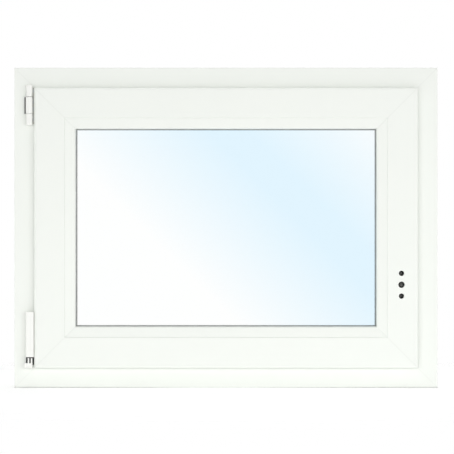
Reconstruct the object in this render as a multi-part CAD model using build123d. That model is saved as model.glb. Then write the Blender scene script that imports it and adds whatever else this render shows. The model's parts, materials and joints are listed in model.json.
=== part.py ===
from build123d import *
import os

# Single-sash tilt-and-turn window of hollow PVC profiles, closed, with no handle fitted.
# X runs along the sill, Y out through the wall, Z up from the underside of the sill.
# "Reach" is the distance from the frame's outer edge towards the middle of the window.

# Whole window
WINDOW_WIDTH = 800.0
WINDOW_HEIGHT = 605.0

# What shows of each profile from inside
FRAME_SIGHT = 38.0
SASH_FACE = 58.0
BEAD_FACE = 19.6

# Outer frame profile
FRAME_DEPTH = 70.0
LEG_HEIGHT = 22.0  # outer leg above the rebate
LEG_THICKNESS = 13.0
LEG_BEVEL = 4.0
LEG_BEVEL_LENGTH = 18.0
DRAIN_CHANNEL_DEPTH = 5.0
DRAIN_CHANNEL_WIDTH = 14.0
EDGE_ROUND = 1.5
CLIP_SLOT_WIDTH = 7.0  # slots round the outside that take trims and anchors
CLIP_SLOT_DEPTH = 3.0
CLIP_SLOT_UNDERCUT = 1.2
CLIP_SLOT_SPACING = 42.0

# Sash profile
SASH_LAP = 8.0  # lip over the frame
LIP_THICKNESS = 13.0
HARDWARE_GAP = 12.0  # room for fittings between frame and sash
LIP_ROUND = 4.0
GLAZING_LEG = 12.0
GLAZING_BEVEL = 5.0
HARDWARE_AXIS = 13.0  # from the back of the lip to the middle of the hardware groove
GROOVE_SEAT_WIDTH = 16.0
GROOVE_SEAT_DEPTH = 3.0
GROOVE_WIDTH = 12.0
GROOVE_DEPTH = 6.0  # below the seat

# Walls of the hollow profiles
WALL = 2.8
WEB = 1.8
INNER_CHAMBER = 12.0

# Gaskets
SEAL_GAP = 3.0  # gap that a rebate gasket closes
GLAZING_GAP = 3.0  # gap that a glazing gasket closes
FOOT_NECK_WIDTH = 1.8
FOOT_NECK_DEPTH = 1.4
FOOT_BARB_WIDTH = 3.4
FOOT_DEPTH = 3.4
FOOT_CLEARANCE = 0.2
SEAL_WIDTH = 5.6
SEAL_TIP = 2.6
SEAL_ROUND = 0.8
SEAL_EDGE = 4.5  # from a leg's edge to the middle of its gasket
GASKET_SHOW = 1.5  # glazing gasket that stands beyond the bead

# Glazing beads
BEAD_WALL = 1.6
BEAD_SETBACK = 0.8
BEAD_SLOPE = 3.5
BEAD_NOSE = 3.0
CLIP_WIDTH = 2.6
CLIP_LENGTH = 4.5
CLIP_CLEARANCE = 0.3
CLIP_INSET = 7.0  # from the bead's face to the middle of its clip

# Insulating glass
PANE = 4.0
CAVITY = 16.0
BLOCK_HEIGHT = 5.0  # setting block under the glass
BLOCK_LENGTH = 80.0
BLOCK_FROM_CORNER = 100.0
SEALANT = 4.0
SPACER_HEIGHT = 7.0
SPACER_CHAMFER = 1.2

# Hinges, on a common upright axis
HINGE_SET = 29.0  # axis from the frame's edge
HINGE_STAND = 11.0  # axis in front of the frame's face
PIN_RADIUS = 3.0
PIN_CLEARANCE = 0.1
KNUCKLE_RADIUS = 4.4
COVER_CLEARANCE = 0.3
LEAF = 2.4
STRAP_TAIL = 17.0  # strap behind the lip
STRAP_INSET = 12.0  # tail shorter than the wing at each end
WEB_THICKNESS = 2.4

# Top hinge
TOP_HINGE_DROP = 33.0
CAP_HEIGHT = 21.8
CAP_RADIUS = 5.8
CAP_END = 2.5
BEARING_HEIGHT = 31.2
BEARING_RADIUS = 6.0
BEARING_FLANGE = 6.6  # flat side of the bearing, from the axis
FLANGE_STAND = 3.0  # flat side in front of the axis
PLATE_MARGIN = 3.2  # plate that shows beside the bearing
CAP_TRIM = 0.6
UPPER_JOINT = 1.0  # gap between the bearing and the upper cap
LOWER_JOINT = 0.5

# Bottom hinge
BOTTOM_COVER_LOW = 58.5
BOTTOM_COVER_HEIGHT = 85.5
BOTTOM_COVER_WIDTH = 15.4
COVER_GAP = 0.5  # between the cover and the sash's lip
BOTTOM_COVER_DEPTH = 14.2
COVER_ROUND = 4.5
CORNER_BEARING_LOW = 38.0
CORNER_BEARING_HEIGHT = 9.0
CORNER_BEARING_WIDTH = 15.5
CORNER_BEARING_SET = 5.8  # axis to the bearing's right side
PRONG_WIDTH = 2.9
PRONG_SPACING = 5.8
PRONG_THICKNESS = 1.6
PRONG_GAP = 2.0  # below the cover
PLATE_RISE = 5.5  # plate's lower edge above the bearing's
PIVOT_DEPTH = 16.0  # pivot pin inside the sash's knuckle

# Handle preparation and lock
HANDLE_HEIGHT = 195.0
HANDLE_SET = 31.0  # from the sash's edge to the spindle
SPINDLE_HOLE_RADIUS = 6.0
SCREW_HOLE_RADIUS = 5.0
SCREW_SPACING = 43.0
STRIP_THICKNESS = 2.4
STRIP_END = 70.0  # from the sash's edge to the strip's end
STRIP_CLEARANCE = 0.3
GEAR_LENGTH = 64.0
GEAR_REACH = 18.0
GEAR_THICKNESS = 11.0
GEAR_ROUND = 4.0
GEAR_CLEARANCE = 0.4
FOLLOWER_RADIUS = 7.0
FOLLOWER_CLEARANCE = 0.3
SPINDLE_SQUARE = 7.1
GEAR_SCREW_RADIUS = 2.6

# Drain caps on the outside of the sill
DRAIN_SPACING = 440.0
DRAIN_HEIGHT = 24.0
DRAIN_CAP_LENGTH = 40.0
DRAIN_CAP_HEIGHT = 15.0
DRAIN_CAP_STAND = 5.0
DRAIN_CAP_WALL = 1.4
DRAIN_CAP_ROOF = 4.2
DRAIN_SLOT_LENGTH = 28.0
DRAIN_SLOT_HEIGHT = 5.0

# Depths through the wall
frame_in = -FRAME_DEPTH / 2
frame_out = FRAME_DEPTH / 2
leg_in = frame_out - LEG_THICKNESS
lip_back = frame_in - SEAL_GAP
sash_in = lip_back - LIP_THICKNESS
sash_out = leg_in - SEAL_GAP
groove_axis = lip_back + HARDWARE_AXIS
glazing_leg_in = sash_out - GLAZING_LEG
glass_out = glazing_leg_in - GLAZING_GAP
glass_in = glass_out - 2 * PANE - CAVITY
bead_back = glass_in - GLAZING_GAP
bead_front = sash_in + BEAD_SETBACK

# Reaches from the frame's edge
rebate = FRAME_SIGHT + SASH_LAP
leg_top = rebate + LEG_HEIGHT
channel_floor = rebate - DRAIN_CHANNEL_DEPTH
groove_face = rebate + HARDWARE_GAP
groove_seat = groove_face + GROOVE_SEAT_DEPTH
groove_floor = groove_seat + GROOVE_DEPTH
bead_seat = FRAME_SIGHT + SASH_FACE
sight_line = bead_seat + BEAD_FACE
glass_edge = bead_seat + BLOCK_HEIGHT
spacer_edge = glass_edge + SEALANT
clip_slot_floor = bead_seat - CLIP_LENGTH - CLIP_CLEARANCE
frame_seal = leg_top - SEAL_EDGE
lip_seal = FRAME_SIGHT + SEAL_EDGE
glazing_seal = sight_line - SEAL_EDGE


def outline(*corners):
    """Face through corners (reach, depth), each with a rounding where a third number is given."""
    face = make_face(Polyline(*[corner[:2] for corner in corners], close=True))
    for corner in corners:
        if len(corner) == 3:
            vertex = face.vertices().sort_by_distance(corner[:2])[0]
            face = fillet(vertex, corner[2])
    return face


def block(low_x, high_x, low_y, high_y):
    """Plain rectangle between four limits."""
    middle = Pos((low_x + high_x) / 2, (low_y + high_y) / 2)
    return middle * Rectangle(high_x - low_x, high_y - low_y)


def hollow_profile(corners, chambers):
    """Rounded outline with chambers, whose walls come from the sharp outline set in."""
    sharp = outline(*[corner[:2] for corner in corners])
    core = offset(sharp, -WALL, kind=Kind.INTERSECTION)
    body = outline(*corners)
    for limits in chambers:
        body -= core & block(*limits)
    return body


def gasket_foot(reach, carrier, into, clearance=0.0):
    """Barbed foot of a gasket, or with clearance the slot that takes it. Into is 1 or -1."""
    neck = FOOT_NECK_WIDTH / 2 + clearance
    barb = FOOT_BARB_WIDTH / 2 + clearance
    step = carrier + into * (FOOT_NECK_DEPTH - clearance)
    end = carrier + into * (FOOT_DEPTH + clearance)
    return outline(
        (reach - neck, carrier),
        (reach - neck, step),
        (reach - barb, step),
        (reach - neck, end),
        (reach + neck, end),
        (reach + barb, step),
        (reach + neck, step),
        (reach + neck, carrier),
    )


def gasket_section(reach, carrier, into, gap, low_edge, high_edge):
    """Gasket with its foot in the carrier's slot and its rounded head across the gap."""
    tip = carrier - into * gap
    taper = (SEAL_WIDTH - SEAL_TIP) / 2
    head = outline(
        (low_edge, carrier),
        (low_edge + taper, tip, SEAL_ROUND),
        (high_edge - taper, tip, SEAL_ROUND),
        (high_edge, carrier),
    )
    return head + gasket_foot(reach, carrier, into)


def clip_slot(middle):
    """Undercut slot in the frame's outer edge."""
    mouth = CLIP_SLOT_WIDTH / 2
    floor = mouth + CLIP_SLOT_UNDERCUT
    return outline(
        (0, middle - mouth),
        (CLIP_SLOT_DEPTH, middle - floor),
        (CLIP_SLOT_DEPTH, middle + floor),
        (0, middle + mouth),
    )


def frame_section():
    """Outer frame: leg outside, drained rebate, flat face inside, four chambers."""
    ramp = leg_in - DRAIN_CHANNEL_WIDTH
    corners = (
        (0, frame_out, EDGE_ROUND),
        (leg_top - LEG_BEVEL_LENGTH, frame_out),
        (leg_top, frame_out - LEG_BEVEL, EDGE_ROUND),
        (leg_top, leg_in, EDGE_ROUND),
        (channel_floor, leg_in),
        (channel_floor, ramp),
        (rebate, ramp - DRAIN_CHANNEL_DEPTH),
        (rebate, frame_in, EDGE_ROUND),
        (0, frame_in, EDGE_ROUND),
    )
    low = CLIP_SLOT_DEPTH + WALL
    inner_end = frame_in + WALL + INNER_CHAMBER
    main_end = ramp - DRAIN_CHANNEL_DEPTH - WEB
    leg_end = frame_seal - FOOT_BARB_WIDTH / 2 - WALL
    chambers = (
        (low, rebate, frame_in, inner_end),
        (low, rebate, inner_end + WEB, main_end),
        (low, channel_floor, main_end + WEB, leg_in + WALL - WEB),
        (low, leg_end, leg_in + WALL, frame_out),
    )
    body = hollow_profile(corners, chambers)
    body -= gasket_foot(frame_seal, leg_in, 1, FOOT_CLEARANCE)
    for side in (-1, 1):
        body -= clip_slot(side * CLIP_SLOT_SPACING / 2)
    return body


def sash_section():
    """Sash: lip inside, hardware groove, bead seat, glazing leg outside, four chambers."""
    corners = (
        (FRAME_SIGHT, sash_in, LIP_ROUND),
        (bead_seat, sash_in, EDGE_ROUND),
        (bead_seat, glazing_leg_in),
        (sight_line, glazing_leg_in, EDGE_ROUND),
        (sight_line, sash_out - GLAZING_BEVEL, EDGE_ROUND),
        (bead_seat, sash_out),
        (groove_face, sash_out, EDGE_ROUND),
        (groove_face, lip_back),
        (FRAME_SIGHT, lip_back, EDGE_ROUND),
    )
    seat_half = GROOVE_SEAT_WIDTH / 2
    groove_half = GROOVE_WIDTH / 2
    main_end = groove_axis + seat_half + groove_half
    lip_start = lip_seal + FOOT_BARB_WIDTH / 2 + WEB
    leg_end = glazing_seal - FOOT_BARB_WIDTH / 2 - WALL
    chambers = (
        (lip_start, clip_slot_floor - WEB, sash_in, lip_back - WALL),
        (groove_floor + WALL, bead_seat, lip_back - WALL + WEB, main_end),
        (groove_face, bead_seat, main_end + WEB, glazing_leg_in + WALL - WEB),
        (groove_face, leg_end, glazing_leg_in + WALL, sash_out),
    )
    body = hollow_profile(corners, chambers)
    body -= gasket_foot(lip_seal, lip_back, -1, FOOT_CLEARANCE)
    body -= gasket_foot(glazing_seal, glazing_leg_in, 1, FOOT_CLEARANCE)
    body -= block(groove_face, groove_seat, groove_axis - seat_half, groove_axis + seat_half)
    body -= block(groove_seat, groove_floor, groove_axis - groove_half, groove_axis + groove_half)
    return body - bead_clip(CLIP_CLEARANCE)


def bead_clip(clearance):
    """Foot of a bead, or with clearance the slot that takes it."""
    middle = bead_front + CLIP_INSET
    half = CLIP_WIDTH / 2 + clearance
    return block(bead_seat - CLIP_LENGTH - clearance, bead_seat, middle - half, middle + half)


def bead_section():
    """Hollow glazing bead: sloped face, rounded nose, clip foot, slot for the glazing gasket."""
    shell = outline(
        (bead_seat, bead_front),
        (sight_line, bead_front + BEAD_SLOPE, BEAD_NOSE),
        (sight_line, bead_back),
        (bead_seat, bead_back),
    )
    hollow = offset(shell, -BEAD_WALL)
    slot_end = bead_back - FOOT_DEPTH - BEAD_WALL
    hollow -= block(glazing_seal - FOOT_BARB_WIDTH, sight_line, slot_end, bead_back)
    body = shell - hollow + bead_clip(0)
    return body - gasket_foot(glazing_seal, bead_back, -1, FOOT_CLEARANCE)


def side_plane(side):
    """Section plane at the middle of a side: x runs inwards, y out through the wall."""
    half_width = WINDOW_WIDTH / 2
    half_height = WINDOW_HEIGHT / 2
    origin, inward, along = {
        "top": ((0, 0, WINDOW_HEIGHT), (0, 0, -1), (1, 0, 0)),
        "bottom": ((0, 0, 0), (0, 0, 1), (-1, 0, 0)),
        "left": ((-half_width, 0, half_height), (1, 0, 0), (0, 0, 1)),
        "right": ((half_width, 0, half_height), (-1, 0, 0), (0, 0, -1)),
    }[side]
    return Plane(origin=origin, x_dir=inward, z_dir=along)


def mitred_side(section, side):
    """One side of a ring: the section run along it and cut at 45 degrees at both corners."""
    length = WINDOW_WIDTH if side in ("top", "bottom") else WINDOW_HEIGHT
    bar = extrude(section, length / 2, both=True)
    for end in (-1, 1):
        mitre = Plane(origin=(0, 0, end * length / 2), z_dir=(1, 0, end))
        bar = split(bar, bisect_by=mitre, keep=Keep.BOTTOM)
    return side_plane(side) * bar


def ring(section):
    """Closed ring of one section, with mitred corners."""
    sides = [mitred_side(section, side) for side in ("top", "bottom", "left", "right")]
    return sides[0].fuse(*sides[1:])


def upright(section, low, high):
    """Section in plan, run up from one height to another."""
    return extrude(Pos(0, 0, low) * section, high - low)


def cylinder_through(x, y_from, y_to, z, radius):
    """Round bar or drill along the depth."""
    start = Plane(origin=(x, y_from, z), x_dir=(1, 0, 0), z_dir=(0, 1, 0))
    return extrude(start * Circle(radius), y_to - y_from)


frame_left = -WINDOW_WIDTH / 2
hinge_x = frame_left + HINGE_SET
hinge_y = frame_in - HINGE_STAND
leaf_front = frame_in - LEAF
strap_back = lip_back + LEAF
cover_back = lip_back - COVER_CLEARANCE
web_low = hinge_x + KNUCKLE_RADIUS - WEB_THICKNESS
lip_edge = frame_left + FRAME_SIGHT

hinge_top = WINDOW_HEIGHT - TOP_HINGE_DROP
upper_cap = (hinge_top - CAP_HEIGHT, hinge_top)
bearing_high = upper_cap[0] - UPPER_JOINT
bearing_low = bearing_high - BEARING_HEIGHT
lower_cap = (bearing_low - LOWER_JOINT - CAP_HEIGHT, bearing_low - LOWER_JOINT)
cover_high = BOTTOM_COVER_LOW + BOTTOM_COVER_HEIGHT
bearing_top = CORNER_BEARING_LOW + CORNER_BEARING_HEIGHT

# Heights of the straps beside the sash's lip
top_wing = (lower_cap[0] + CAP_END, WINDOW_HEIGHT - FRAME_SIGHT - COVER_CLEARANCE)
bottom_wing = (BOTTOM_COVER_LOW + COVER_CLEARANCE, cover_high - CAP_END - COVER_CLEARANCE)


def hinge_circle(radius):
    """Circle on the hinge axis, in plan."""
    return Pos(hinge_x, hinge_y) * Circle(radius)


def pin_bore():
    """Running fit for a hinge pin, in plan."""
    return hinge_circle(PIN_RADIUS + PIN_CLEARANCE)


def strap_section(grow=0.0):
    """Knuckle and its web, in plan, as far back as the strap's leaf."""
    web = block(web_low - grow, hinge_x + KNUCKLE_RADIUS + grow, hinge_y, strap_back)
    return hinge_circle(KNUCKLE_RADIUS + grow) + web


def strap(knuckles, wing):
    """Sash side of a hinge: knuckles, a wing beside the lip and a tail behind it."""
    low, high = wing
    body = upright(block(web_low, lip_edge, lip_back, strap_back), low, high)
    tail = block(lip_edge, lip_edge + STRAP_TAIL, lip_back, strap_back)
    body += upright(tail, low + STRAP_INSET, high - STRAP_INSET)
    for span in knuckles:
        body += upright(strap_section() - pin_bore(), *span)
    return body


def cap(low, high, closed_end):
    """Cover over one knuckle of the top hinge, closed at one end (1 above, -1 below)."""
    outer = hinge_circle(CAP_RADIUS) + block(
        hinge_x - CAP_RADIUS, hinge_x + CAP_RADIUS, hinge_y, cover_back
    )
    hollow_low = low if closed_end > 0 else low + CAP_END
    hollow_high = high - CAP_END if closed_end > 0 else high
    body = upright(outer, low, high)
    end_edges = body.edges().group_by(Axis.Z)[-1 if closed_end > 0 else 0]
    body = chamfer(end_edges, CAP_TRIM)
    return body - upright(strap_section(COVER_CLEARANCE), hollow_low, hollow_high)


def knuckle_span(low, high, closed_end):
    """Heights of the knuckle under a cap."""
    if closed_end > 0:
        return (low + COVER_CLEARANCE, high - CAP_END - COVER_CLEARANCE)
    return (low + CAP_END + COVER_CLEARANCE, high - COVER_CLEARANCE)


def top_hinge():
    """Top hinge: frame plate and bearing, pin, sash strap and two caps."""
    flange_edge = hinge_x - BEARING_FLANGE
    plate = upright(
        block(flange_edge - PLATE_MARGIN, hinge_x + CAP_RADIUS, leaf_front, frame_in),
        bearing_low,
        bearing_high,
    )
    saddle = block(flange_edge, hinge_x + BEARING_RADIUS, hinge_y, leaf_front)
    flange = block(flange_edge, hinge_x, hinge_y - FLANGE_STAND, leaf_front)
    bearing = upright(hinge_circle(BEARING_RADIUS) + saddle + flange, bearing_low, bearing_high)
    ends = bearing.edges().group_by(Axis.Z)
    bearing = chamfer(ends[0] + ends[-1], CAP_TRIM) - upright(pin_bore(), bearing_low, bearing_high)
    upper = knuckle_span(*upper_cap, 1)
    lower = knuckle_span(*lower_cap, -1)
    strap_room = upright(
        block(web_low, hinge_x + BEARING_RADIUS + COVER_CLEARANCE, lip_back, strap_back),
        bearing_low - LOWER_JOINT,
        bearing_high + UPPER_JOINT,
    )
    return {
        "top_hinge_plate": plate,
        "top_hinge_bearing": bearing,
        "top_hinge_pin": upright(hinge_circle(PIN_RADIUS), lower[0], upper[1]),
        "top_hinge_strap": strap((upper, lower), top_wing) - strap_room,
        "top_hinge_upper_cap": cap(*upper_cap, 1),
        "top_hinge_lower_cap": cap(*lower_cap, -1),
    }


def bottom_hinge():
    """Bottom hinge: frame plate and corner bearing, pivot pin, sash strap and cover."""
    cover_right = lip_edge - COVER_GAP
    cover_left = cover_right - BOTTOM_COVER_WIDTH
    cover_front = cover_back - BOTTOM_COVER_DEPTH
    bearing_right = hinge_x + CORNER_BEARING_SET
    bearing_left = bearing_right - CORNER_BEARING_WIDTH
    plate = upright(
        block(cover_left, cover_right, leaf_front, frame_in),
        CORNER_BEARING_LOW + PLATE_RISE,
        BOTTOM_COVER_LOW,
    )
    seat = outline(
        (bearing_left, leaf_front),
        (bearing_left, cover_front, COVER_ROUND),
        (bearing_right, cover_front, EDGE_ROUND),
        (bearing_right, leaf_front),
    )
    bearing = upright(seat, CORNER_BEARING_LOW, bearing_top)
    prong_front = cover_front + EDGE_ROUND
    prong_back = prong_front + PRONG_THICKNESS
    for edge in (bearing_right, bearing_right - PRONG_SPACING):
        prong = block(edge - PRONG_WIDTH, edge, prong_front, prong_back)
        bearing += upright(prong, bearing_top, BOTTOM_COVER_LOW - PRONG_GAP)
    pin_low = CORNER_BEARING_LOW + CAP_END
    bearing -= upright(pin_bore(), pin_low, bearing_top)
    shell = outline(
        (cover_left, cover_back),
        (cover_left, cover_front, COVER_ROUND),
        (cover_right, cover_front, EDGE_ROUND),
        (cover_right, cover_back),
    )
    cover = upright(shell, BOTTOM_COVER_LOW, cover_high)
    cover = chamfer(cover.edges().group_by(Axis.Z)[-1], CAP_TRIM)
    cover -= upright(strap_section(COVER_CLEARANCE), BOTTOM_COVER_LOW, cover_high - CAP_END)
    return {
        "bottom_hinge_plate": plate,
        "bottom_hinge_bearing": bearing,
        "bottom_hinge_pin": upright(
            hinge_circle(PIN_RADIUS), pin_low, BOTTOM_COVER_LOW + PIVOT_DEPTH
        ),
        "bottom_hinge_strap": strap((bottom_wing,), bottom_wing),
        "bottom_hinge_cover": cover,
    }


frame_right = WINDOW_WIDTH / 2
spindle_x = frame_right - FRAME_SIGHT - HANDLE_SET
strip_x = frame_right - groove_seat


def lock():
    """Lock strip in the hardware groove, with its gearbox and the follower for the spindle."""
    strip_half = GROOVE_SEAT_WIDTH / 2 - STRIP_CLEARANCE
    strip = upright(
        block(strip_x, strip_x + STRIP_THICKNESS, groove_axis - strip_half, groove_axis + strip_half),
        FRAME_SIGHT + STRIP_END,
        WINDOW_HEIGHT - FRAME_SIGHT - STRIP_END,
    )
    front = groove_axis - GEAR_THICKNESS / 2
    back = groove_axis + GEAR_THICKNESS / 2
    case_plane = Plane(
        origin=(strip_x - GEAR_REACH / 2, front, HANDLE_HEIGHT), x_dir=(1, 0, 0), z_dir=(0, 1, 0)
    )
    case_face = case_plane * Rectangle(GEAR_REACH, GEAR_LENGTH)
    case = extrude(case_face, GEAR_THICKNESS)
    case = fillet(case.edges().filter_by(Axis.Y).group_by(Axis.X)[0], GEAR_ROUND)
    case -= cylinder_through(
        spindle_x, front, back, HANDLE_HEIGHT, FOLLOWER_RADIUS + FOLLOWER_CLEARANCE
    )
    for side in (-1, 1):
        height = HANDLE_HEIGHT + side * SCREW_SPACING / 2
        case -= cylinder_through(spindle_x, front, back, height, GEAR_SCREW_RADIUS)
    follower = cylinder_through(spindle_x, front, back, HANDLE_HEIGHT, FOLLOWER_RADIUS)
    socket_plane = Plane(
        origin=(spindle_x, front, HANDLE_HEIGHT), x_dir=(1, 0, 0), z_dir=(0, 1, 0)
    )
    follower -= extrude(socket_plane * Rectangle(SPINDLE_SQUARE, SPINDLE_SQUARE), GEAR_THICKNESS)
    return {"lock_strip": strip, "lock_gearbox": case, "lock_follower": follower}


def handle_stile():
    """Handle stile of the sash, drilled for the handle and milled for the gearbox."""
    stile = mitred_side(sash_section(), "right")
    front = groove_axis - GEAR_THICKNESS / 2 - GEAR_CLEARANCE
    back = groove_axis + GEAR_THICKNESS / 2 + GEAR_CLEARANCE
    pocket_end = strip_x - GEAR_REACH - GEAR_CLEARANCE
    stile -= upright(
        block(pocket_end, frame_right - groove_face, front, back),
        HANDLE_HEIGHT - GEAR_LENGTH / 2 - GEAR_CLEARANCE,
        HANDLE_HEIGHT + GEAR_LENGTH / 2 + GEAR_CLEARANCE,
    )
    stile -= cylinder_through(spindle_x, sash_in, front, HANDLE_HEIGHT, SPINDLE_HOLE_RADIUS)
    for side in (-1, 1):
        height = HANDLE_HEIGHT + side * SCREW_SPACING / 2
        stile -= cylinder_through(spindle_x, sash_in, front, height, SCREW_HOLE_RADIUS)
    return stile


def drain_slot(x):
    """Slot through the sill's outer wall and the cap in front of it."""
    start = Plane(
        origin=(x, frame_out - LEG_THICKNESS / 2, DRAIN_HEIGHT), x_dir=(1, 0, 0), z_dir=(0, 1, 0)
    )
    return extrude(start * SlotOverall(DRAIN_SLOT_LENGTH, DRAIN_SLOT_HEIGHT), LEG_THICKNESS)


def drain_cap(x):
    """Hooded cap over a drain slot, open below."""
    half = DRAIN_CAP_HEIGHT / 2
    wall = DRAIN_CAP_WALL
    lip = DRAIN_CAP_STAND - wall
    hood = outline((0, -half), (0, half), (DRAIN_CAP_STAND, 0, wall), (DRAIN_CAP_STAND, -half))
    mouth = outline((wall, -half), (wall, half - DRAIN_CAP_ROOF), (lip, -wall), (lip, -half))
    middle = Plane(origin=(x, frame_out, DRAIN_HEIGHT), x_dir=(0, 1, 0), z_dir=(1, 0, 0))
    body = extrude(middle * hood, DRAIN_CAP_LENGTH / 2, both=True)
    body -= extrude(middle * mouth, DRAIN_CAP_LENGTH / 2 - wall, both=True)
    opening = Plane(origin=(x, frame_out, DRAIN_HEIGHT), x_dir=(1, 0, 0), z_dir=(0, 1, 0))
    body -= extrude(opening * SlotOverall(DRAIN_SLOT_LENGTH, DRAIN_SLOT_HEIGHT), wall)
    return body


def pane(depth):
    """One sheet of glass, from a depth outwards."""
    middle = Plane(origin=(0, depth, WINDOW_HEIGHT / 2), x_dir=(1, 0, 0), z_dir=(0, 1, 0))
    sheet = Rectangle(WINDOW_WIDTH - 2 * glass_edge, WINDOW_HEIGHT - 2 * glass_edge)
    return extrude(middle * sheet, PANE)


def setting_blocks():
    """Two blocks under the glass, near its lower corners."""
    blocks = []
    for side in (-1, 1):
        middle = side * (WINDOW_WIDTH / 2 - glass_edge - BLOCK_FROM_CORNER)
        plan = block(middle - BLOCK_LENGTH / 2, middle + BLOCK_LENGTH / 2, glass_in, glass_out)
        blocks.append(upright(plan, bead_seat, glass_edge))
    return Compound(children=blocks)


def sash_gasket():
    """Gasket round the back of the sash's lip, its head cut away at the two hinge straps."""
    half = SEAL_WIDTH / 2
    body = ring(gasket_section(lip_seal, lip_back, -1, SEAL_GAP, lip_seal - half, lip_seal + half))
    notch = block(lip_edge, lip_edge + STRAP_TAIL, lip_back, frame_in)
    inset = STRAP_INSET - COVER_CLEARANCE
    for low, high in (top_wing, bottom_wing):
        body -= upright(notch, low + inset, high - inset)
    return body


def glazing_gasket(carrier, into):
    """Gasket between the glass and a bead or glazing leg, standing a little beyond it."""
    low = glazing_seal - SEAL_WIDTH / 2
    return ring(
        gasket_section(glazing_seal, carrier, into, GLAZING_GAP, low, sight_line + GASKET_SHOW)
    )


def spacer():
    """Spacer bar between the panes, with chamfered shoulders."""
    low = glass_in + PANE
    high = glass_out - PANE
    bar = block(spacer_edge, spacer_edge + SPACER_HEIGHT, low, high)
    bar = chamfer(bar.vertices().group_by(Axis.X)[0], SPACER_CHAMFER)
    return ring(bar)


half_seal = SEAL_WIDTH / 2
frame_names = {
    "top": "frame_head",
    "bottom": "frame_sill",
    "left": "frame_jamb_left",
    "right": "frame_jamb_right",
}
sash_names = {"top": "sash_top_rail", "bottom": "sash_bottom_rail", "left": "sash_hinge_stile"}

nodes = {}
for side, name in frame_names.items():
    nodes[name] = mitred_side(frame_section(), side)
for side, name in sash_names.items():
    nodes[name] = mitred_side(sash_section(), side)
nodes["sash_handle_stile"] = handle_stile()
for side in frame_names:
    nodes["glazing_bead_" + side] = mitred_side(bead_section(), side)

nodes["frame_gasket"] = ring(
    gasket_section(frame_seal, leg_in, 1, SEAL_GAP, frame_seal - half_seal, frame_seal + half_seal)
)
nodes["sash_gasket"] = sash_gasket()
nodes["inner_glazing_gasket"] = glazing_gasket(bead_back, -1)
nodes["outer_glazing_gasket"] = glazing_gasket(glazing_leg_in, 1)
nodes["inner_pane"] = pane(glass_in)
nodes["outer_pane"] = pane(glass_out - PANE)
nodes["glass_spacer"] = spacer()
nodes["glass_edge_seal"] = ring(block(glass_edge, spacer_edge, glass_in + PANE, glass_out - PANE))
nodes["setting_blocks"] = setting_blocks()
nodes.update(top_hinge())
nodes.update(bottom_hinge())
nodes.update(lock())
for side, name in ((-1, "drain_cap_left"), (1, "drain_cap_right")):
    middle = side * DRAIN_SPACING / 2
    nodes["frame_sill"] -= drain_slot(middle)
    nodes[name] = drain_cap(middle)

os.makedirs("parts", exist_ok=True)
for name, shape in nodes.items():
    export_step(shape, f"parts/{name}.step")
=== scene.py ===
import json
import math

import bmesh
import bpy
from bpy.props import FloatProperty, FloatVectorProperty, IntProperty, PointerProperty
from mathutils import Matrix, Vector


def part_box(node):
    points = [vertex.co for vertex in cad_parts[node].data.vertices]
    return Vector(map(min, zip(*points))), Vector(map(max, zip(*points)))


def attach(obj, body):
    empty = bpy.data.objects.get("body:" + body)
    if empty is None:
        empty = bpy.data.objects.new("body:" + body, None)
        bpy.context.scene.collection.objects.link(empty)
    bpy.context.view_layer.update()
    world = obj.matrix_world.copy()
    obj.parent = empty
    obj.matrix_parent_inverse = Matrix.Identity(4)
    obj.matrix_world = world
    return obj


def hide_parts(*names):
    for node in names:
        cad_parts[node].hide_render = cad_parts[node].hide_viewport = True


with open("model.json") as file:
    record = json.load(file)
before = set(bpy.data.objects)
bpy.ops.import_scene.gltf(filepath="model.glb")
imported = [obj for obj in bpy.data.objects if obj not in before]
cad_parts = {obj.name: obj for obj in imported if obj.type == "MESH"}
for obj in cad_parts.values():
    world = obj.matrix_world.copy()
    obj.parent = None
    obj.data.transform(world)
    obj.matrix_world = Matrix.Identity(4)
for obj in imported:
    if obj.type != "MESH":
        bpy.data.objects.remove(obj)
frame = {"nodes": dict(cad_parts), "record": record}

bl_info = {
    "name": "Tilt-and-turn window",
    "version": (1, 0, 0),
    "blender": (4, 5, 0),
    "location": "3D View > Sidebar > Window",
    "description": "Finishes a white PVC window with one sash round its CAD solids",
    "category": "Object",
}

NODES = frame["nodes"]
SLOTS = {part["node"]: part["material_slot"] for part in frame["record"]["subparts"]}
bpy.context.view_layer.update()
BODY = "root"

# The window's outline, the frame's inner face and the spacer's box
HALF_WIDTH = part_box("frame_sill")[1].x
HALF_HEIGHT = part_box("frame_head")[1].z / 2
FRAME_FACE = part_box("frame_sill")[0].y
SPACER_LOW, SPACER_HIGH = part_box("glass_spacer")

# Vent holes in the spacer, drawn as dark spots of painted shade, and ribs on the setting blocks, with
# painted shade between them
VENT_PITCH = 0.004
VENT_ROW = 0.0035
VENT_RADIUS = 0.0005
RIB_PITCH = 0.004

# Draw lines on extruded PVC: scale of the noise across and along a profile
DRAW_ACROSS = 900.0
DRAW_ALONG = 4.0

# Dull line along a mitre: half its width, where it has gone, and how bright it is
WELD_CORE = 0.0008
WELD_REACH = 0.0022
WELD_SHADE = 0.966

# How strongly materials bend light, the share that glass mirrors head on, and what it lets through
PVC_IOR = 1.53
PLASTIC_IOR = 1.5
MIRROR_AHEAD = 0.04
CLEAR = (0.998, 1.0, 0.999, 1.0)

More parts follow.
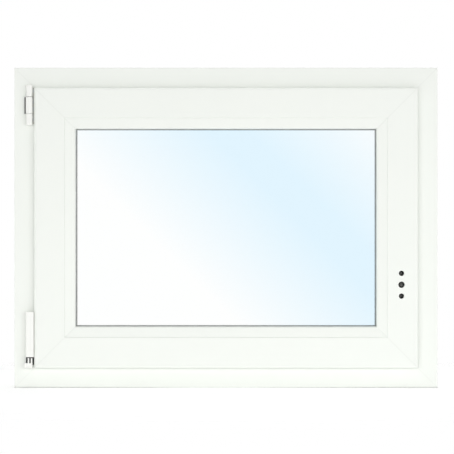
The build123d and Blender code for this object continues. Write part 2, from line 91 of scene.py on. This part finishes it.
# Axes that profiles run along
ALONG_X = 0
ALONG_Z = 2
FRAME_SIDES = {
    "frame_head": ALONG_X,
    "frame_sill": ALONG_X,
    "frame_jamb_left": ALONG_Z,
    "frame_jamb_right": ALONG_Z,
}
SASH_SIDES = {
    "sash_top_rail": ALONG_X,
    "sash_bottom_rail": ALONG_X,
    "sash_hinge_stile": ALONG_Z,
    "sash_handle_stile": ALONG_Z,
}
BEADS = {
    "glazing_bead_top": ALONG_X,
    "glazing_bead_bottom": ALONG_X,
    "glazing_bead_left": ALONG_Z,
    "glazing_bead_right": ALONG_Z,
}
GASKETS = ("frame_gasket", "sash_gasket", "inner_glazing_gasket", "outer_glazing_gasket")

# Limits for joining triangles into whole faces and for sorting faces and edges
JOIN = 2e-6
ON_MITRE = 2e-5
FLAT = math.radians(0.5)
SHARP = math.radians(40)
FACING = 0.9

# The window in the photograph, in pixels of a square image
IMAGE_SIZE = 454
PHOTO_LEFT = 14.4
PHOTO_RIGHT = 437.6
PHOTO_TOP = 67.7

# Lamps: where they stand, what they point at, their width and height
MIDDLE = (0.0, 0.0, HALF_HEIGHT)
FRONT_LAMP = ((0.2, -2.6, 0.52), MIDDLE, 5.5, 1.0)
REAR_LAMP = ((0.4, 3.0, 0.9), MIDDLE, 2.6, 1.1)
TOP_LAMP = ((0.0, 0.1, 2.3), (0.0, 0.1, 0.0), 1.4, 1.6)
LEFT_LAMP = ((-2.2, 0.25, 0.5), (0.0, 0.25, 0.5), 1.6, 0.9)
RIGHT_LAMP = ((2.2, 0.25, 0.5), (0.0, 0.25, 0.5), 1.6, 0.9)
FOOT_LAMP = ((0.0, 0.0, -0.0001), (0.0, 0.0, 1.0), 3.0, 3.0)

# Floor: kept clear of the sill's underside, brightened where it is looked at
FLOOR_DROP = 0.0003
FLOOR_COLOUR = (0.9, 0.9, 0.9, 1.0)
FLOOR_LIFT = 0.35
FLOOR_SIDES = 96
WHITE = (1.0, 1.0, 1.0, 1.0)


class WindowSizes(bpy.types.PropertyGroup):
    """Small forms that finish the profiles and the fittings."""

    frame_weld: FloatProperty(
        name="Frame weld",
        description="Shoulder on each side of the frame's welded corners",
        default=0.00035,
        min=0.0,
        unit="LENGTH",
    )
    sash_weld: FloatProperty(
        name="Sash weld",
        description="Shoulder on each side of the sash's welded corners",
        default=0.0009,
        min=0.0,
        unit="LENGTH",
    )
    bead_mitre: FloatProperty(
        name="Bead mitre",
        description="Shoulder on each side of the beads' cut corners",
        default=0.0003,
        min=0.0,
        unit="LENGTH",
    )
    hole_rim: FloatProperty(
        name="Hole rim",
        description="Rounding round the holes for the handle",
        default=0.0004,
        min=0.0,
        unit="LENGTH",
    )
    moulded_edge: FloatProperty(
        name="Moulded edge",
        description="Rounding on the hinge covers and drain caps",
        default=0.0004,
        min=0.0,
        unit="LENGTH",
    )
    steel_edge: FloatProperty(
        name="Steel edge",
        description="Rounding on stamped and cast steel",
        default=0.0003,
        min=0.0,
        unit="LENGTH",
    )
    segments: IntProperty(
        name="Segments",
        description="Steps across each rounding",
        default=3,
        min=1,
        max=8,
    )
    # Sky band: a painted reflection of sky, laid across the glass as a pale blue band; these sizes place
    # it and fade it
    band_place: FloatProperty(
        name="Sky band",
        description="Width plus height at the middle of the blue band across the glass",
        default=0.491,
        unit="LENGTH",
    )
    band_core: FloatProperty(
        name="Sky band core",
        description="Distance from the band's middle at which it starts to fade",
        default=0.027,
        unit="LENGTH",
    )
    band_reach: FloatProperty(
        name="Sky band reach",
        description="Distance from the band's middle at which it has gone",
        default=0.247,
        unit="LENGTH",
    )


def colour_property(name, description, default):
    """Colour that a user may change, linear."""
    return FloatVectorProperty(
        name=name, description=description, default=default, subtype="COLOR", min=0.0, max=1.0
    )


class WindowColours(bpy.types.PropertyGroup):
    """Colours of the window's materials."""

    pvc: colour_property("PVC", "Extruded profiles and beads", (0.9, 0.925, 0.88))
    cover: colour_property("Covers", "Moulded hinge covers", (0.94, 0.945, 0.91))
    gasket: colour_property("Gaskets", "Rubber seals", (0.35, 0.36, 0.355))
    # Sky band: colour of the painted reflection of sky, laid on the glass as a tint of what it lets
    # through
    sky: colour_property("Sky band", "Tint of one face of the glass", (0.93, 0.976, 1.0))
    aluminium: colour_property("Spacer", "Bar between the panes", (0.66, 0.67, 0.68))
    sealant: colour_property("Sealant", "Edge of the glass unit", (0.02, 0.02, 0.022))
    block: colour_property("Blocks", "Setting blocks under the glass", (0.2, 0.27, 0.36))
    coated: colour_property("Coated steel", "Hinge plates and gearbox", (0.05, 0.05, 0.052))
    zinc: colour_property("Zinc", "Plated straps and lock strip", (0.54, 0.55, 0.535))


class StageSettings(bpy.types.PropertyGroup):
    """Camera, light and floor."""

    distance: FloatProperty(
        name="Distance",
        description="Camera to the face of the frame",
        default=6.0,
        unit="LENGTH",
    )
    daylight: FloatProperty(
        name="Daylight",
        description="Even light from all round",
        default=0.24,
        min=0.0,
    )
    front: FloatProperty(
        name="Front lamp",
        description="Wide soft lamp in front, a little above and right of the middle",
        default=50.5,
        min=0.0,
        unit="POWER",
    )
    side: FloatProperty(
        name="Side lamps",
        description="Soft lamps on the left and right",
        default=10.6,
        min=0.0,
        unit="POWER",
    )
    rear: FloatProperty(
        name="Rear lamp",
        description="Wide soft lamp on the outside of the window",
        default=24.0,
        min=0.0,
        unit="POWER",
    )
    top: FloatProperty(
        name="Top lamp",
        description="Soft lamp over the window",
        default=17.0,
        min=0.0,
        unit="POWER",
    )
    foot: FloatProperty(
        name="Foot lamp",
        description="Broad lamp that lies on the floor and shines up",
        default=7.6,
        min=0.0,
        unit="POWER",
    )
    floor_radius: FloatProperty(
        name="Floor",
        description="Radius at which the floor has faded out",
        default=2.6,
        unit="LENGTH",
    )


class Wire:
    """An output of a shader node. Arithmetic on wires adds Math nodes."""

    def __init__(self, tree, socket=None):
        self.tree = tree
        self.socket = socket

    def node(self, kind, settings=None, inputs=None, output=0):
        """New node of a kind, given its settings and then its inputs, as values or wires."""
        made = self.tree.nodes.new(kind)
        for name, value in (settings or {}).items():
            setattr(made, name, value)
        for name, value in (inputs or {}).items():
            if isinstance(value, Wire):
                self.tree.links.new(value.socket, made.inputs[name])
            else:
                made.inputs[name].default_value = value
        return Wire(self.tree, made.outputs[output] if made.outputs else None)

    def beside(self, output):
        """Another output of the same node."""
        return Wire(self.tree, self.socket.node.outputs[output])

    def math(self, operation, *others):
        """Math node that takes this value first."""
        values = dict(enumerate((self, *others)))
        return self.node("ShaderNodeMath", {"operation": operation}, values)

    def __add__(self, other):
        return self.math("ADD", other)

    def __sub__(self, other):
        return self.math("SUBTRACT", other)

    def __rsub__(self, other):
        return self.node("ShaderNodeMath", {"operation": "SUBTRACT"}, {0: other, 1: self})

    def __mul__(self, other):
        return self.math("MULTIPLY", other)

    def __truediv__(self, other):
        return self.math("DIVIDE", other)

    def __pow__(self, other):
        return self.math("POWER", other)

    def __abs__(self):
        return self.math("ABSOLUTE")

    __radd__ = __add__
    __rmul__ = __mul__

    def fade(self, start, end, smooth=True):
        """0 at start and 1 at end, held beyond them."""
        kind = "SMOOTHSTEP" if smooth else "LINEAR"
        limits = {"Value": self, "From Min": start, "From Max": end}
        return self.node("ShaderNodeMapRange", {"interpolation_type": kind}, limits)

    def blend(self, low, high):
        """Colour between two colours, by this value."""
        return self.node("ShaderNodeMix", {"data_type": "RGBA"}, {0: self, 6: low, 7: high}, 2)

    def noise(self, scale, detail=2.0):
        """Noise over this vector, from 0 to 1."""
        return self.node(
            "ShaderNodeTexNoise", None, {"Vector": self, "Scale": scale, "Detail": detail}
        )

    def stretched(self, scale):
        """This vector scaled along each axis."""
        return self.node("ShaderNodeMapping", None, {"Vector": self, "Scale": scale})

    def bump(self, distance, strength=1.0):
        """Normals of a surface with this height."""
        return self.node(
            "ShaderNodeBump", None, {"Height": self, "Distance": distance, "Strength": strength}
        )


def shaded(colour, share):
    """Colour with alpha, darkened to a share."""
    return (*(channel * share for channel in colour), 1.0)


def new_material(name):
    """Empty node material and a wire with the object's coordinates."""
    material = bpy.data.materials.new(name)
    material.use_nodes = True
    material.node_tree.nodes.clear()
    return material, Wire(material.node_tree).node("ShaderNodeTexCoord", output="Object")


def surface(place, inputs):
    """Principled shader with these inputs, on the material's output."""
    shader = place.node("ShaderNodeBsdfPrincipled", None, inputs)
    place.node("ShaderNodeOutputMaterial", None, {"Surface": shader})


def from_mitre(place):
    """Distance from the mitre lines at the window's four corners."""
    across = place.node("ShaderNodeSeparateXYZ", None, {"Vector": place}, "X")
    up = across.beside("Z")
    reach_x = HALF_WIDTH - abs(across)
    reach_z = HALF_HEIGHT - abs(up - HALF_HEIGHT)
    return abs(reach_x - reach_z)


def pvc_material(name, colour, along):
    """Extruded PVC: faint draw lines along the profile, slow waviness and duller welds."""
    material, place = new_material(name)
    scale = [DRAW_ACROSS] * 3
    scale[along] = DRAW_ALONG
    lines = place.stretched(scale).noise(1.0, 3.0)
    waves = place.noise(38.0)
    cloud = place.noise(5.0, 3.0)
    weld = 1 - from_mitre(place).fade(WELD_CORE, WELD_REACH)
    tone = (cloud * 0.7 + lines * 0.3).fade(0.3, 0.7)
    clean = tone.blend(shaded(colour, 0.985), shaded(colour, 1.0))
    inputs = {
        "Base Color": weld.blend(clean, shaded(colour, WELD_SHADE)),
        "Roughness": 0.27 + lines * 0.1 + weld * 0.2,
        "IOR": PVC_IOR,
        "Normal": (lines * 0.25 + waves).bump(0.00006, 0.6),
    }
    surface(place, inputs)
    return material


def moulded_material(name, colour):
    """Injection-moulded plastic with the fine grain of an eroded mould."""
    material, place = new_material(name)
    grain = place.noise(2600.0, 2.0)
    cloud = place.noise(60.0, 2.0)
    inputs = {
        "Base Color": cloud.blend(shaded(colour, 0.985), shaded(colour, 1.0)),
        "Roughness": 0.3 + grain * 0.14,
        "IOR": PLASTIC_IOR,
        "Normal": grain.bump(0.00003, 0.5),
    }
    surface(place, inputs)
    return material


def rubber_material(name, colour):
    """Extruded rubber with a dull skin and a trace of dust."""
    material, place = new_material(name)
    skin = place.noise(1400.0, 3.0)
    dust = place.noise(90.0, 4.0).fade(0.45, 0.75)
    inputs = {
        "Base Color": dust.blend(shaded(colour, 1.0), shaded(colour, 1.25)),
        "Roughness": 0.5 + skin * 0.2 + dust * 0.1,
        "IOR": PLASTIC_IOR,
        "Normal": skin.bump(0.00005, 0.5),
    }
    surface(place, inputs)
    return material


def glass_material(name, sky, sizes):
    """Clear float glass that mirrors more at a slant, with a painted reflection of pale sky across it as
    a blue band.
    """
    material, place = new_material(name)
    across = place.node("ShaderNodeSeparateXYZ", None, {"Vector": place}, "X")
    # Painted reflection: a pale blue band across the glass, clear towards its edges, stands for sky
    # mirrored in the glass
    offset = (across + across.beside("Z") - sizes.band_place) / math.sqrt(2)
    band = abs(offset).fade(sizes.band_reach, sizes.band_core, smooth=False)
    clear = place.node("ShaderNodeBsdfTransparent", None, {"Color": CLEAR})
    painted_sky_reflection = place.node("ShaderNodeBsdfTransparent", None, {"Color": (*sky, 1.0)})
    body = place.node("ShaderNodeMixShader", None, {0: band, 1: clear, 2: painted_sky_reflection})
    slant = place.node("ShaderNodeLayerWeight", None, {"Blend": 0.5}, "Facing")
    mirrored = MIRROR_AHEAD + (1 - MIRROR_AHEAD) * slant**5
    mirror = place.node("ShaderNodeBsdfAnisotropic", None, {"Color": WHITE, "Roughness": 0.0})
    both = place.node("ShaderNodeMixShader", None, {0: mirrored, 1: body, 2: mirror})
    place.node("ShaderNodeOutputMaterial", None, {"Surface": both})
    return material


def spacer_material(name, colour):
    """Rolled aluminium with two rows of vent holes along it, drawn as dark spots of painted shade."""
    material, place = new_material(name)
    across = place.node("ShaderNodeSeparateXYZ", None, {"Vector": place}, "X")
    middle = (SPACER_LOW.y + SPACER_HIGH.y) / 2
    along = (across + across.beside("Z")).math("PINGPONG", VENT_PITCH / 2)
    beside = abs(across.beside("Y") - middle) - VENT_ROW
    from_vent = (along * along + beside * beside).math("SQRT")
    # Vent holes as painted shade: dark spots on the flat metal where the holes are
    hole = 1 - from_vent.fade(0.8 * VENT_RADIUS, 1.2 * VENT_RADIUS)
    brushed = place.stretched((60.0, 3000.0, 60.0)).noise(1.0, 2.0)
    inputs = {
        "Base Color": hole.blend(shaded(colour, 1.0), shaded(colour, 0.12)),
        "Metallic": 1.0,
        "Roughness": 0.3 + brushed * 0.15,
        "Normal": brushed.bump(0.00002, 0.4),
    }
    surface(place, inputs)
    return material


def sealant_material(name, colour):
    """Cured sealant, smooth with soft lumps, with painted shade in the dips and painted highlight on the
    lumps.
    """
    material, place = new_material(name)
    lumps = place.noise(300.0, 3.0)
    # Painted shade and highlight: the colour follows the lumps, darker in the dips and lighter on top
    inputs = {
        "Base Color": lumps.blend(shaded(colour, 0.8), shaded(colour, 1.4)),
        "Roughness": 0.45 + lumps * 0.2,
        "Normal": lumps.bump(0.0002, 0.5),
    }
    surface(place, inputs)
    return material


def block_material(name, colour):
    """Ribbed setting block, with painted shade in the grooves and painted light on the ribs."""
    material, place = new_material(name)
    across = place.node("ShaderNodeSeparateXYZ", None, {"Vector": place}, "X")
    ribs = across.math("PINGPONG", RIB_PITCH / 2) / (RIB_PITCH / 2)
    # Painted shade and light: the colour follows the ribs, darker in the grooves and lighter on the
    # crests
    inputs = {
        "Base Color": ribs.blend(shaded(colour, 0.85), shaded(colour, 1.05)),
        "Roughness": 0.5 + place.noise(700.0) * 0.15,
        "Normal": ribs.bump(0.0002, 0.6),
    }
    surface(place, inputs)
    return material


def coated_material(name, colour):
    """Steel under a dark baked coat with an orange-peel skin."""
    material, place = new_material(name)
    peel = place.noise(900.0, 2.0)
    rub = place.noise(160.0, 4.0).fade(0.55, 0.8)
    inputs = {
        "Base Color": rub.blend(shaded(colour, 1.0), shaded(colour, 1.7)),
        "Roughness": 0.34 + peel * 0.16,
        "IOR": PLASTIC_IOR,
        "Normal": peel.bump(0.00004, 0.5),
    }
    surface(place, inputs)
    return material


def zinc_material(name, colour):
    """Zinc-plated steel with the cloudy tint of its passivation."""
    material, place = new_material(name)
    cloud = place.noise(120.0, 4.0)
    grain = place.noise(2200.0, 2.0)
    cool = (colour[0] * 0.94, colour[1] * 0.98, colour[2] * 1.04, 1.0)
    warm = (colour[0] * 1.03, colour[1] * 1.0, colour[2] * 0.95, 1.0)
    inputs = {
        "Base Color": cloud.fade(0.35, 0.65).blend(cool, warm),
        "Metallic": 1.0,
        "Roughness": 0.28 + grain * 0.14 + cloud * 0.1,
        "Normal": grain.bump(0.00002, 0.4),
    }
    surface(place, inputs)
    return material


def finish(slot, along=ALONG_X):
    """Material for a slot of the window, made once."""
    name = f"{slot}_{'xyz'[along]}" if slot == "pvc_white" else slot
    if name in bpy.data.materials and bpy.data.materials[name].get("window_finish"):
        return bpy.data.materials[name]
    colours = bpy.context.scene.window_colours
    sizes = bpy.context.scene.window_sizes
    made = {
        "pvc_white": lambda: pvc_material(name, colours.pvc, along),
        "cover_white": lambda: moulded_material(name, colours.cover),
        "gasket_grey": lambda: rubber_material(name, colours.gasket),
        "clear_glass": lambda: glass_material(name, colours.sky, sizes),
        "spacer_metal": lambda: spacer_material(name, colours.aluminium),
        "sealant_black": lambda: sealant_material(name, colours.sealant),
        "block_plastic": lambda: block_material(name, colours.block),
        "dark_steel": lambda: coated_material(name, colours.coated),
        "bright_steel": lambda: zinc_material(name, colours.zinc),
    }[slot]()
    made.name = name
    made["window_finish"] = True
    return made


def joined(node):
    """Bmesh of a CAD solid, its loose triangles joined into whole faces."""
    shape = bmesh.new()
    shape.from_mesh(NODES[node].data)
    bmesh.ops.remove_doubles(shape, verts=shape.verts, dist=JOIN)
    bmesh.ops.dissolve_limit(shape, angle_limit=FLAT, verts=shape.verts, edges=shape.edges)
    return shape


def bevel(shape, edges, width, clamp):
    """Rounds some edges of a bmesh."""
    bmesh.ops.bevel(
        shape,
        geom=edges,
        offset=width,
        offset_type="OFFSET",
        segments=bpy.context.scene.window_sizes.segments,
        profile=0.5,
        affect="EDGES",
        clamp_overlap=clamp,
        material=-1,
    )


def corner_offset(point):
    """Distance of a point from the mitre line of its corner, along the window's edge."""
    reach_x = HALF_WIDTH - abs(point.x)
    reach_z = HALF_HEIGHT - abs(point.z - HALF_HEIGHT)
    return abs(reach_x - reach_z)


def on_mitre(face):
    """True for a face that lies in the cut at a corner."""
    return all(corner_offset(vertex.co) < ON_MITRE for vertex in face.verts)


def outer_skin(shape, cut):
    """Faces reached from the front of a profile without crossing its cut ends."""
    front = min(shape.faces, key=lambda face: face.calc_center_median().y)
    skin = {front}
    ahead = [front]
    while ahead:
        for edge in ahead.pop().edges:
            for face in edge.link_faces:
                if face not in skin and face not in cut:
                    skin.add(face)
                    ahead.append(face)
    return skin


def groove_corners(shape, width):
    """Rounds a profile's edges at its cut ends, so that two profiles meet in a fine groove."""
    cut = {face for face in shape.faces if on_mitre(face)}
    skin = outer_skin(shape, cut)
    edges = [
        edge
        for edge in shape.edges
        if any(face in cut for face in edge.link_faces)
        and any(face in skin for face in edge.link_faces)
    ]
    bevel(shape, edges, width, clamp=False)


def round_rims(shape, width):
    """Rounds the rims of holes drilled in the front of a profile."""
    edges = []
    for edge in shape.edges:
        depths = sorted(face.normal.y for face in edge.link_faces)
        if depths[0] < -FACING and abs(depths[1]) < 1 - FACING:
            if not any(on_mitre(face) for face in edge.link_faces):
                edges.append(edge)
    bevel(shape, edges, width, clamp=False)


def soften(shape, width):
    """Rounds every sharp edge of a small part."""
    edges = [edge for edge in shape.edges if edge.calc_face_angle(0.0) > SHARP]
    bevel(shape, edges, width, clamp=True)


def set_in_place(shape, node, name, along=ALONG_X):
    """Turns a bmesh into the piece that stands for a CAD solid."""
    for face in shape.faces:
        face.smooth = True
    mesh = bpy.data.meshes.new(name)
    shape.to_mesh(mesh)
    shape.free()
    if "custom_normal" in mesh.attributes:
        mesh.attributes.remove(mesh.attributes["custom_normal"])
    mesh.set_sharp_from_angle(angle=SHARP)
    mesh.materials.clear()
    mesh.materials.append(finish(SLOTS[node], along))
    piece = bpy.data.objects.new(name, mesh)
    bpy.context.scene.collection.objects.link(piece)
    weighted = piece.modifiers.new("Flat faces stay flat", "WEIGHTED_NORMAL")
    weighted.keep_sharp = True
    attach(piece, BODY)
    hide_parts(node)


def run_profiles(sides, groove, rim=0.0):
    """Puts profiles with grooved corners, and with rounded holes if a rim is given, in place."""
    for node, along in sides.items():
        shape = joined(node)
        if rim:
            round_rims(shape, rim)
        groove_corners(shape, groove)
        set_in_place(shape, node, f"{node}_profile", along)


def round_off(nodes, width, kind):
    """Puts small parts with rounded edges in place."""
    for node in nodes:
        shape = joined(node)
        soften(shape, width)
        set_in_place(shape, node, f"{node}_{kind}")


def paint(*nodes):
    """Gives CAD solids that keep their shape the finish of their slot."""
    for node in nodes:
        for slot in NODES[node].material_slots:
            slot.material = finish(SLOTS[node])


class PVC_WINDOW_OT_outer_frame(bpy.types.Operator):
    """Four frame profiles, welded at the corners"""

    bl_idname = "pvc_window.outer_frame"
    bl_label = "Outer frame"

    def execute(self, context):
        run_profiles(FRAME_SIDES, context.scene.window_sizes.frame_weld)
        return {"FINISHED"}


class PVC_WINDOW_OT_sash(bpy.types.Operator):
    """Four sash profiles, welded at the corners, one drilled for the handle"""

    bl_idname = "pvc_window.sash"
    bl_label = "Sash"

    def execute(self, context):
        sizes = context.scene.window_sizes
        run_profiles(SASH_SIDES, sizes.sash_weld, sizes.hole_rim)
        return {"FINISHED"}


class PVC_WINDOW_OT_beads(bpy.types.Operator):
    """Four glazing beads, cut at the corners and clipped in"""

    bl_idname = "pvc_window.beads"
    bl_label = "Glazing beads"

    def execute(self, context):
        run_profiles(BEADS, context.scene.window_sizes.bead_mitre)
        return {"FINISHED"}


class PVC_WINDOW_OT_gaskets(bpy.types.Operator):
    """Rubber seals of the frame, the sash and the glass"""

    bl_idname = "pvc_window.gaskets"
    bl_label = "Gaskets"

    def execute(self, context):
        for node in GASKETS:
            set_in_place(joined(node), node, f"{node}_rubber")
        return {"FINISHED"}


class PVC_WINDOW_OT_glazing(bpy.types.Operator):
    """Two panes, their spacer and edge seal, and the blocks they stand on"""

    bl_idname = "pvc_window.glazing"
    bl_label = "Insulating glass"

    def execute(self, context):
        paint("inner_pane", "outer_pane", "glass_spacer", "glass_edge_seal", "setting_blocks")
        return {"FINISHED"}


class PVC_WINDOW_OT_top_hinge(bpy.types.Operator):
    """Top hinge: bearing on the frame, two covered knuckles on the sash"""

    bl_idname = "pvc_window.top_hinge"
    bl_label = "Top hinge"

    def execute(self, context):
        sizes = context.scene.window_sizes
        covers = ("top_hinge_bearing", "top_hinge_upper_cap", "top_hinge_lower_cap")
        round_off(covers, sizes.moulded_edge, "moulding")
        round_off(("top_hinge_plate", "top_hinge_strap"), sizes.steel_edge, "steel")
        paint("top_hinge_pin")
        return {"FINISHED"}


class PVC_WINDOW_OT_bottom_hinge(bpy.types.Operator):
    """Bottom hinge: corner bearing on the frame, covered knuckle on the sash"""

    bl_idname = "pvc_window.bottom_hinge"
    bl_label = "Bottom hinge"

    def execute(self, context):
        sizes = context.scene.window_sizes
        round_off(("bottom_hinge_bearing", "bottom_hinge_cover"), sizes.moulded_edge, "moulding")
        round_off(("bottom_hinge_plate", "bottom_hinge_strap"), sizes.steel_edge, "steel")
        paint("bottom_hinge_pin")
        return {"FINISHED"}


class PVC_WINDOW_OT_lock(bpy.types.Operator):
    """Lock strip, gearbox and the follower behind the spindle hole"""

    bl_idname = "pvc_window.lock"
    bl_label = "Lock"

    def execute(self, context):
        steel_edge = context.scene.window_sizes.steel_edge
        round_off(("lock_strip", "lock_gearbox", "lock_follower"), steel_edge, "steel")
        return {"FINISHED"}


class PVC_WINDOW_OT_drain_caps(bpy.types.Operator):
    """Hooded caps over the drain slots outside"""

    bl_idname = "pvc_window.drain_caps"
    bl_label = "Drain caps"

    def execute(self, context):
        moulded_edge = context.scene.window_sizes.moulded_edge
        round_off(("drain_cap_left", "drain_cap_right"), moulded_edge, "moulding")
        return {"FINISHED"}


def looked_at(wire):
    """1 for what the camera sees, straight on, mirrored or through glass, and else 0."""
    path = wire.node("ShaderNodeLightPath", output="Is Camera Ray")
    seen = path + path.beside("Is Glossy Ray") + path.beside("Is Transmission Ray")
    return seen.math("MINIMUM", 1.0)


def white_world(strength):
    """World that looks white and lights the window evenly."""
    world = bpy.data.worlds.new("studio_white")
    world.use_nodes = True
    world.node_tree.nodes.clear()
    start = Wire(world.node_tree)
    light = start.node("ShaderNodeBackground", None, {"Color": WHITE, "Strength": strength})
    white = start.node("ShaderNodeBackground", None, {"Color": WHITE, "Strength": 1.0})
    both = start.node("ShaderNodeMixShader", None, {0: looked_at(start), 1: light, 2: white})
    start.node("ShaderNodeOutputWorld", None, {"Surface": both})
    return world


def white_floor(radius):
    """Round white floor that takes the window's shadow and fades out, sooner to the eye than to light."""
    material, place = new_material("white_floor")
    seen = looked_at(place)
    lit = place.node("ShaderNodeBsdfDiffuse", None, {"Color": FLOOR_COLOUR})
    lift = place.node("ShaderNodeEmission", None, {"Strength": FLOOR_LIFT})
    lifted = place.node("ShaderNodeAddShader", None, {0: lit, 1: lift})
    floor = place.node("ShaderNodeMixShader", None, {0: seen, 1: lit, 2: lifted})
    gone = place.node("ShaderNodeBsdfTransparent")
    from_middle = place.node("ShaderNodeVectorMath", {"operation": "LENGTH"}, {0: place}, "Value")
    rim = from_middle.fade(radius / 2, radius)
    seen_rim = seen * from_middle.fade(radius / 4, radius / 2)
    away = rim.math("MAXIMUM", seen_rim)
    faded = place.node("ShaderNodeMixShader", None, {0: away, 1: floor, 2: gone})
    place.node("ShaderNodeOutputMaterial", None, {"Surface": faded})
    shape = bmesh.new()
    bmesh.ops.create_circle(shape, cap_ends=True, segments=FLOOR_SIDES, radius=radius)
    bmesh.ops.translate(shape, verts=shape.verts, vec=(0.0, 0.0, -FLOOR_DROP))
    mesh = bpy.data.meshes.new("floor")
    shape.to_mesh(mesh)
    shape.free()
    mesh.materials.append(material)
    piece = bpy.data.objects.new("floor", mesh)
    bpy.context.scene.collection.objects.link(piece)


def lamp(name, power, place, aim, width, height):
    """Soft rectangular lamp turned to a point."""
    light = bpy.data.lights.new(name, "AREA")
    light.shape = "RECTANGLE"
    light.size = width
    light.size_y = height
    light.energy = power
    holder = bpy.data.objects.new(name, light)
    holder.location = place
    holder.rotation_euler = (Vector(aim) - Vector(place)).to_track_quat("-Z", "Y").to_euler()
    holder.visible_camera = False
    holder.visible_glossy = False
    bpy.context.scene.collection.objects.link(holder)


def camera(distance):
    """Camera straight in front, framed as the photograph is."""
    scale = 2 * HALF_WIDTH / (PHOTO_RIGHT - PHOTO_LEFT)
    across = (IMAGE_SIZE - PHOTO_LEFT - PHOTO_RIGHT) / 2 * scale
    up = 2 * HALF_HEIGHT - (IMAGE_SIZE / 2 - PHOTO_TOP) * scale
    lens = bpy.data.cameras.new("camera")
    lens.lens = lens.sensor_width * distance / (IMAGE_SIZE * scale)
    holder = bpy.data.objects.new("camera", lens)
    holder.location = (across, FRAME_FACE - distance, up)
    holder.rotation_euler = (math.pi / 2, 0.0, 0.0)
    bpy.context.scene.collection.objects.link(holder)
    bpy.context.scene.camera = holder


class PVC_WINDOW_OT_stage(bpy.types.Operator):
    """White floor and surroundings, soft lamps and the camera"""

    bl_idname = "pvc_window.stage"
    bl_label = "Stage"

    def execute(self, context):
        settings = context.scene.window_stage
        context.scene.view_settings.view_transform = "Standard"
        context.scene.world = white_world(settings.daylight)
        white_floor(settings.floor_radius)
        lamp("front_lamp", settings.front, *FRONT_LAMP)
        lamp("rear_lamp", settings.rear, *REAR_LAMP)
        lamp("top_lamp", settings.top, *TOP_LAMP)
        lamp("left_lamp", settings.side, *LEFT_LAMP)
        lamp("right_lamp", settings.side, *RIGHT_LAMP)
        lamp("foot_lamp", settings.foot, *FOOT_LAMP)
        camera(settings.distance)
        return {"FINISHED"}


OPERATORS = (
    PVC_WINDOW_OT_outer_frame,
    PVC_WINDOW_OT_sash,
    PVC_WINDOW_OT_beads,
    PVC_WINDOW_OT_gaskets,
    PVC_WINDOW_OT_glazing,
    PVC_WINDOW_OT_top_hinge,
    PVC_WINDOW_OT_bottom_hinge,
    PVC_WINDOW_OT_lock,
    PVC_WINDOW_OT_drain_caps,
    PVC_WINDOW_OT_stage,
)


class VIEW3D_PT_pvc_window(bpy.types.Panel):
    """Pieces of the window in the order they are made"""

    bl_idname = "VIEW3D_PT_pvc_window"
    bl_label = "Tilt-and-turn window"
    bl_space_type = "VIEW_3D"
    bl_region_type = "UI"
    bl_category = "Window"

    def draw(self, context):
        for operator in OPERATORS:
            self.layout.operator(operator.bl_idname)
        for group in ("window_sizes", "window_colours", "window_stage"):
            settings = getattr(context.scene, group)
            box = self.layout.box()
            for name in settings.__annotations__:
                box.prop(settings, name)


GROUPS = {
    "window_sizes": WindowSizes,
    "window_colours": WindowColours,
    "window_stage": StageSettings,
}


def register():
    for kind in (*GROUPS.values(), *OPERATORS, VIEW3D_PT_pvc_window):
        bpy.utils.register_class(kind)
    for name, group in GROUPS.items():
        setattr(bpy.types.Scene, name, PointerProperty(type=group))


def unregister():
    for name in GROUPS:
        delattr(bpy.types.Scene, name)
    for kind in (VIEW3D_PT_pvc_window, *reversed(OPERATORS), *GROUPS.values()):
        bpy.utils.unregister_class(kind)


def main():
    """Makes the window and its stage."""
    register()
    for operator in OPERATORS:
        group, name = operator.bl_idname.split(".")
        getattr(getattr(bpy.ops, group), name)()


if __name__ == "__main__":
    main()
